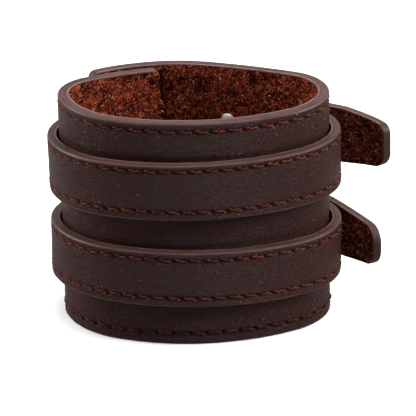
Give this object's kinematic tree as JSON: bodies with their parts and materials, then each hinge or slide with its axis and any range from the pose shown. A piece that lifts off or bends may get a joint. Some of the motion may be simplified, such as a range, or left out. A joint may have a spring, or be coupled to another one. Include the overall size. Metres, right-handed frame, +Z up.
{
  "type": "leather buckle bracelet",
  "caption": "Wide leather wrist cuff with lapped ends, closed by two narrow leather straps with metal buckles, standing on its lower rim.",
  "frame": {"origin": "middle of the wrist opening, level with the cuff's lower rim", "axes": "+Z up along the forearm, +X across the wrist towards the free strap tips, +Y towards the buckles"},
  "size_m": [0.093, 0.0585, 0.0648],
  "materials": {
    "leather": "dark brown grained leather, suede on the inner faces, painted edges",
    "metal": "nickel plated, softly polished"
  },
  "bodies": {
    "root": {"base_band": "leather", "upper_strap": "leather", "lower_strap": "leather", "upper_buckle": "metal", "lower_buckle": "metal", "upper_rivet_high": "metal", "upper_rivet_low": "metal", "lower_rivet_high": "metal", "lower_rivet_low": "metal"}
  },
  "joints": []
}
